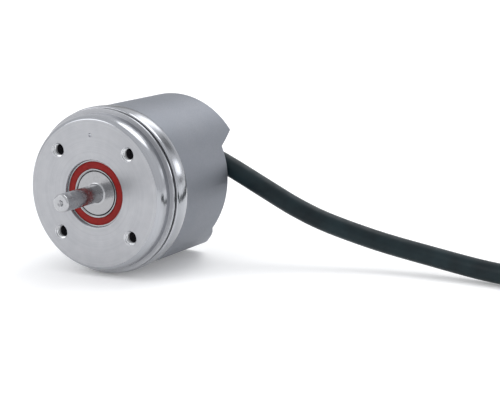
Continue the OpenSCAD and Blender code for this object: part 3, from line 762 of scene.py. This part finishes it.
def thread_mesh(turns, per_turn=28):
    """Helical rib of a thread inside a hole along Y, fading in at both ends."""
    first_y, half_width = 0.25, 0.21
    count = int(turns * per_turn)
    points, faces = [], []
    for k in range(count + 1):
        a = 2 * math.pi * k / per_turn
        y = first_y + THREAD_PITCH * k / per_turn
        grown = min(1, k / (0.6 * per_turn), (count - k) / (0.6 * per_turn))
        crest = THREAD_R - (THREAD_R - CORE_R) * grown
        root = THREAD_R + 0.03
        for r, dy in ((root, -half_width), (crest, -0.04), (crest, 0.04), (root, half_width)):
            points.append(Vector((r * math.cos(a), y + dy, r * math.sin(a))) * MM)
    for k in range(count):
        for i in range(3):
            faces.append((4 * k + i, 4 * k + i + 1, 4 * k + i + 5, 4 * k + i + 4))
        faces.append((4 * k + 3, 4 * k, 4 * k + 4, 4 * k + 7))
    faces += [(0, 1, 2, 3), tuple(4 * count + i for i in (3, 2, 1, 0))]
    mesh = bpy.data.meshes.new("hole_thread")
    mesh.from_pydata(points, [], faces)
    finish_mesh(mesh, 25)
    return mesh


def make_threads(thread):
    for number, angle in enumerate(hole_angles(), 1):
        mesh = thread_mesh((HOLE_DEPTH - 0.7) / THREAD_PITCH)
        mesh.transform(at_angle(angle, HOLE_CIRCLE_R))
        link(bpy.data.objects.new(f"hole_thread_{number}", mesh), "stator", thread)


# ---- shaft and front bearing ----

def make_shaft(steel, collar, shade):
    tip = SHAFT_TIP_Y
    rear = SHAFT_REAR_Y
    outline = [
        (0, tip + 0.75, 0), (0.22, tip + 0.62, 0.05), (0.75, tip + 0.04, 0.08), (SHAFT_R - 0.32, tip, 0.08),
        (SHAFT_R, tip + 0.32, 0.15), (SHAFT_R, COLLAR_Y, 0.5), (COLLAR_R - 0.2, COLLAR_Y, 0.04),
        (COLLAR_R - 0.12, COLLAR_Y + 0.55, 0), (COLLAR_R, COLLAR_Y + 0.6, 0),
        (COLLAR_R, 4.7, 0), (5.6, 4.7, 0.08), (5.6, 5.2, 0.08),
        (3.2, 5.2, 0.05), (3.2, 9.7, 0.05), (2.5, 9.7, 0.05), (2.5, 13.7, 0), (2.2, 13.7, 0),
        (2.2, 14.1, 0), (2.5, 14.1, 0), (2.5, 14.7, 0.1), (2, 14.7, 0), (2, rear, 0.2), (0, rear, 0),
    ]
    obj = bpy.data.objects.new("shaft_ground", lathe_mesh("shaft_ground", softened(outline, 6), 128))
    link(obj, "rotor", steel)
    obj.data.materials.append(collar)
    obj.data.materials.append(shade)
    # Material 2, the dark steel, goes on the collar's wall in the gap behind its front chamfer: painted shade
    # between collar and inner ring. Material 1 goes on the collar's front face.
    for polygon in obj.data.polygons:
        r = math.hypot(polygon.center.x, polygon.center.z)
        if r > (COLLAR_R - 0.21) * MM and (COLLAR_Y + 0.06) * MM < polygon.center.y < 2 * MM:
            polygon.material_index = 2
        elif r > (SHAFT_R + 0.45) * MM and polygon.center.y < 2 * MM:
            polygon.material_index = 1
    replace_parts(obj, "shaft")


def make_front_bearing(steel, seal):
    y0, y1 = BEARING_Y, BEARING_Y + BEARING_W
    land_out = BEARING_PITCH_R + BALL_R - RACE_DEPTH
    land_in = BEARING_PITCH_R - BALL_R + RACE_DEPTH
    step = land_out + (BEARING_OUTER_R - land_out) / 2
    seal_t = 0.5
    race_r = BALL_R + 0.02
    middle = (y0 + y1) / 2

    def race(side):
        """Half-round groove in a ring's land, from the front to the back."""
        reach = math.acos((BALL_R - RACE_DEPTH) / race_r)
        turns = [reach * t for t in (-1, -0.6, -0.2, 0.2, 0.6, 1)]
        return [
            (BEARING_PITCH_R + side * race_r * math.cos(a), middle + race_r * math.sin(a), 0) for a in turns]

    outer = [
        (step, y0, 0.03), (BEARING_OUTER_R - 0.01, y0, 0.12),
        (BEARING_OUTER_R - 0.01, y1, 0.12), (step, y1, 0.03),
        (step, y1 - seal_t, 0), (land_out, y1 - seal_t, 0.04), *reversed(race(1)),
        (land_out, y0 + seal_t, 0.04), (step, y0 + seal_t, 0),
    ]
    shoulder = seal_t + SEAL_GAP
    inner = [
        (COLLAR_R + 0.01, y0 + 0.2, 0.02), (COLLAR_R + 0.22, y0, 0.04), (land_in - SEAL_STEP, y0, 0.04),
        (land_in - SEAL_STEP, y0 + shoulder, 0), (land_in, y0 + shoulder, 0.03), *race(-1),
        (land_in, y1 - shoulder, 0.03), (land_in - SEAL_STEP, y1 - shoulder, 0),
        (land_in - SEAL_STEP, y1, 0.04),
        (COLLAR_R + 0.22, y1, 0.04), (COLLAR_R + 0.01, y1 - 0.2, 0.02),
    ]
    outer_piece = lathe("front_bearing_outer_ring", outer, "stator", steel)
    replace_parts(outer_piece, "front_bearing_outer")
    inner_piece = lathe("front_bearing_inner_ring", inner, "rotor", steel)
    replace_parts(inner_piece, "front_bearing_inner")

    inside, outside = land_in - SEAL_STEP + SEAL_GAP, step - 0.01
    for name, face, deep in (("front", y0 + 0.05, 1), ("back", y1 - 0.05, -1)):
        lip = [
            (inside, face + 0.1 * deep, 0.03), (inside + 0.1, face, 0.05),
            (inside + 0.22, face + 0.09 * deep, 0.05), (inside + 0.34, face + 0.02 * deep, 0.05),
            (outside - 0.3, face, 0.05), (outside - 0.2, face + 0.06 * deep, 0.04),
            (outside - 0.02, face + 0.05 * deep, 0.05), (outside, face + 0.42 * deep, 0.03),
            (inside + 0.08, face + 0.42 * deep, 0.03), (inside, face + 0.3 * deep, 0.03),
        ]
        piece = lathe(f"front_bearing_{name}_seal", lip, "stator", seal)
        if name == "front":
            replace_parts(piece, "front_bearing_seals")


# ---- cable ----

def make_cable(sheath):
    coil = [coil_point(15 * k) for k in range(1, 120)]
    route = smooth_route(CABLE_ROUTE) + coil + smooth_route(TAIL_ROUTE)
    cable = curve_piece("cable_whole", route, CABLE_D / 2)
    link(cable, "stator", sheath)
    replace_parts(cable, "cable", "cable_coil", "cable_tail")
    return cable


def coil_section(margin):
    """Outline round the coil's five turns as (radius, height), with half-round corners."""
    r = CABLE_D / 2 + margin
    centres = [
        (COIL_R + COIL_PITCH, 0, -80, 30), (COIL_R + COIL_PITCH / 2, COIL_RISE, 20, 90),
        (COIL_R - COIL_PITCH / 2, COIL_RISE, 90, 160), (COIL_R - COIL_PITCH, 0, 150, 260),
    ]
    out = []
    for x, z, start, end in centres:
        for k in range(6):
            a = math.radians(start + (end - start) * k / 5)
            out.append((x + r * math.cos(a), z + r * math.sin(a)))
    return out


# Locking head, strap end and latch of a tie, as opposite corners
TIE_HEAD_BLOCKS = [
    ((0, -1.8, -1.5), (2.3, 1.8, 1.5)),
    ((0.5, -1.2, 1.2), (1.7, 1.2, 3.2)),
    ((2.0, -1.1, -0.7), (2.6, 1.1, 0.7)),
]


def make_tie(number, angle, plastic):
    """Flat toothed strap round the coil, with its locking head outside."""
    inner, outer = coil_section(0.02), coil_section(0.5)
    half = TIE_W / 2
    work = bmesh.new()
    loops = []
    for outline, width in ((inner, half - 0.1), (inner, -half + 0.1), (outer, -half), (outer, half)):
        loops.append([work.verts.new(Vector((x, width, z)) * MM) for x, z in outline])
    count = len(inner)
    for i in range(count):
        j = (i + 1) % count
        for k in range(4):
            one, two = loops[k], loops[(k + 1) % 4]
            work.faces.new((one[i], one[j], two[j], two[i]))
    outside = COIL_R + COIL_PITCH + CABLE_D / 2 + 0.3
    for low, high in TIE_HEAD_BLOCKS:
        made = bmesh.ops.create_cube(work, size=1)["verts"]
        size = Vector(high) - Vector(low)
        centre = (Vector(high) + Vector(low)) / 2 + Vector((outside, 0, 0))
        bmesh.ops.scale(work, vec=size * MM, verts=made)
        bmesh.ops.translate(work, vec=centre * MM, verts=made)
        edges = [e for e in work.edges if all(v in made for v in e.verts)]
        bmesh.ops.bevel(work, geom=edges, offset=0.25 * MM, segments=2, profile=0.5, affect="EDGES")
    mesh = bpy.data.meshes.new(f"tie_{number}")
    work.to_mesh(mesh)
    work.free()
    centre = Matrix.Translation(Vector((*COIL_CENTRE, COIL_Z)) * MM)
    mesh.transform(centre @ Matrix.Rotation(math.radians(angle), 4, "Z"))
    finish_mesh(mesh)
    tie = link(bpy.data.objects.new(f"coil_tie_{number}", mesh), "stator", plastic)
    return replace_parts(tie, f"cable_tie_{number}")


def make_outlet(rubber):
    """Moulded grommet with a rounded lip that the cable leaves through."""
    lip_r, neck_r, bore = 2.95, 2.64, CABLE_D / 2 + 0.02
    outline = [
        (bore, -4.3, 0.1), (neck_r, -4.3, 0.1), (neck_r, 0, 0), (lip_r, 0, 0.05), (lip_r, 0.7, 0.3),
        (lip_r - 0.4, 1.0, 0.2), (bore, 1.0, 0.15),
    ]
    along = about_x(BOSS_X, EXIT_Y, EXIT_Z)
    piece = lathe("grommet_moulded", outline, "stator", rubber, 64, along)
    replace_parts(piece, "grommet")


TAIL_TURN = 95
SLEEVE_L = 8.0
LEAD_L = 26.0
FERRULE_L = 6.0
LEAD_D = 0.9
LEAD_SPREAD = 2.6
LEAD_PITCH = 0.46
LEAD_ROW = 0.55
CORE_COLOURS = {
    "red": (0.4, 0.015, 0.01), "white": (0.75, 0.74, 0.7),
    "green": (0.02, 0.22, 0.05), "yellow": (0.7, 0.5, 0.03),
    "brown": (0.13, 0.05, 0.02), "pink": (0.75, 0.3, 0.33),
    "grey": (0.25, 0.25, 0.26), "blue": (0.02, 0.06, 0.35),
}


def tail_frame():
    """Matrix with its origin at the tail's end and +Y along the cable, in millimetres."""
    return Matrix.Translation(Vector(TAIL_ROUTE[-1])) @ Matrix.Rotation(math.radians(-TAIL_TURN), 4, "Z")


def lead_line(place, start, end, steps=8):
    """A lead's points between two distances from the sleeve: it fans out and settles on the floor."""
    drop_from = LEAD_ROW if place % 2 == 0 else -LEAD_ROW
    low = FLOOR_Z + LEAD_D / 2 - TAIL_ROUTE[-1][2]
    middle = place - (len(CORE_COLOURS) - 1) / 2
    turn = math.radians(middle * LEAD_SPREAD)
    line = []
    for k in range(steps + 1):
        far = start + (end - start) * k / steps
        z = drop_from + (low - drop_from) * ease(far, 0.5, 11)
        line.append(tail_frame() @ Vector(
            (middle * LEAD_PITCH + far * math.sin(turn), SLEEVE_L + far * math.cos(turn), z)))
    return line


def make_stripped_end(rubber, insulations, tin):
    """Heat-shrunk sleeve, eight coloured leads and their crimped ends."""
    r = CABLE_D / 2
    sleeve = [
        (0.1, 0, 0), (r + 0.12, -0.2, 0.1), (r + 0.12, 1.2, 0.2), (r + 0.05, 5.5, 0.5),
        (r - 0.35, SLEEVE_L - 0.3, 0.3), (0.1, SLEEVE_L - 0.1, 0),
    ]
    end = Matrix.Translation(Vector(TAIL_ROUTE[-1]) * MM)
    along = end @ Matrix.Rotation(math.radians(-TAIL_TURN), 4, "Z")
    shrunk = lathe("tail_sleeve_shrunk", sleeve, "stator", rubber, 48, along)
    pieces = [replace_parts(shrunk, "tail_sleeve")]
    for place, name in enumerate(CORE_COLOURS):
        lead = curve_piece(f"lead_{name}", lead_line(place, -0.3, LEAD_L), LEAD_D / 2)
        pieces.append(link(lead, "stator", insulations[name]))
        crimp = curve_piece(
            f"crimp_{name}", lead_line(place, LEAD_L, LEAD_L + FERRULE_L, 4), LEAD_D / 2 - 0.1, 2,
            [1, 1.06, 0.9, 1.0, 0.85])
        pieces.append(link(crimp, "stator", tin))
    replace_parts(pieces[1], "tail_leads")
    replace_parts(pieces[2], "lead_ferrules")
    return pieces


def make_core_wires(insulations):
    """The same eight cores inside the cap, from the sheath's end to the plug on the main board."""
    socket_x, socket_z, plug_end_y, pitch = -2.5, -12.6, 27.6, 1.2
    for i, name in enumerate(CORE_COLOURS):
        x = socket_x + pitch * (3.5 - i)
        y = EXIT_Y + (0.55 if i % 2 == 0 else -0.55)
        z = EXIT_Z + (i // 2 - 1.5) * 0.75
        line = [
            (4.5, y, z), (x + 1.1, y, z), (x, y - 0.3, z - 1.3), (x, EXIT_Y - 1.4, (z + socket_z) / 2),
            (x, plug_end_y + 1.7, socket_z + 4.4), (x, plug_end_y + 0.8, socket_z + 2.4),
            (x, plug_end_y, socket_z + 2),
        ]
        wire = link(curve_piece(f"core_{name}", line, 0.35), "stator", insulations[name])
        if i == 0:
            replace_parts(wire, "core_wires")


# ---- everything ----

make_camera()
sheath_material = cable_sheath()
cable_piece = make_cable(sheath_material)

face_material = turned_face()
rim_material = polished_rim()
thread_material = thread_metal_painted_depth_shade()
steel_material = ground_steel()
ring_material = bearing_steel()
plate_material = sheet_steel()
rubber_material = black_rubber()
black_and_gap_shade_material = black_steel()
brass_material = brass()
board_material = circuit_board()
black_material = moulded_plastic("black_plastic", (0.02, 0.02, 0.022), (0.035, 0.035, 0.038))
ivory_material = moulded_plastic("ivory_plastic", (0.72, 0.66, 0.5), (0.66, 0.6, 0.44), 0.4, 0.35)
cage_material = moulded_plastic("cage_polyamide", (0.55, 0.45, 0.26), (0.48, 0.38, 0.2), 0.3, 0.5)
parts_material = moulded_plastic("part_bodies", (0.03, 0.03, 0.032), (0.07, 0.06, 0.05), 0.2, 0.4)
insulation_materials = {name: insulation(f"insulation_{name}", c) for name, c in CORE_COLOURS.items()}

make_flange(face_material, rim_material, thread_material)
make_threads(thread_material)
make_shaft(steel_material, ring_material, black_and_gap_shade_material)
make_front_bearing(ring_material, red_rubber())
make_outlet(rubber_material)
ties = [make_tie(i + 1, a, black_material) for i, a in enumerate(TIE_ANGLES)]
tail_pieces = make_stripped_end(rubber_material, insulation_materials, tinned_copper())
make_core_wires(insulation_materials)

NODE_MATERIALS = {
    blasted_aluminium(): ["housing_cap"],
    ring_material: ["front_bearing_balls", "rear_bearing_outer", "rear_bearing_inner", "rear_bearing_balls"],
    cage_material: ["front_bearing_cage", "rear_bearing_cage"],
    plate_material: ["rear_bearing_shields", "preload_spring", "shaft_clip", "board_screws", "cable_ferrule"],
    brass_material: ["disc_hub", "disc_clamp_ring", "lower_spacers", "upper_spacers"],
    disc_nickel(): ["code_disc"],
    black_and_gap_shade_material: ["hub_grub_screw"],
    black_material: ["led_holder", "photo_array", "board_header"],
    clear_resin("clear_resin", (0.9, 0.92, 0.95)): ["led", "condenser_lens"],
    clear_resin("reticle_glass", (0.85, 0.93, 0.95)): ["reticle"],
    board_material: ["sensor_board", "main_board"],
    parts_material: ["sensor_board_parts", "main_board_parts"],
    ivory_material: ["wire_socket", "wire_plug"],
    rubber_material: ["cap_oring"],
}
for material, names in NODE_MATERIALS.items():
    for name in names:
        for node_slot in nodes[name].material_slots:
            node_slot.material = material

make_floor()
make_world()
make_lights()
bpy.context.scene.view_settings.view_transform = "Standard"
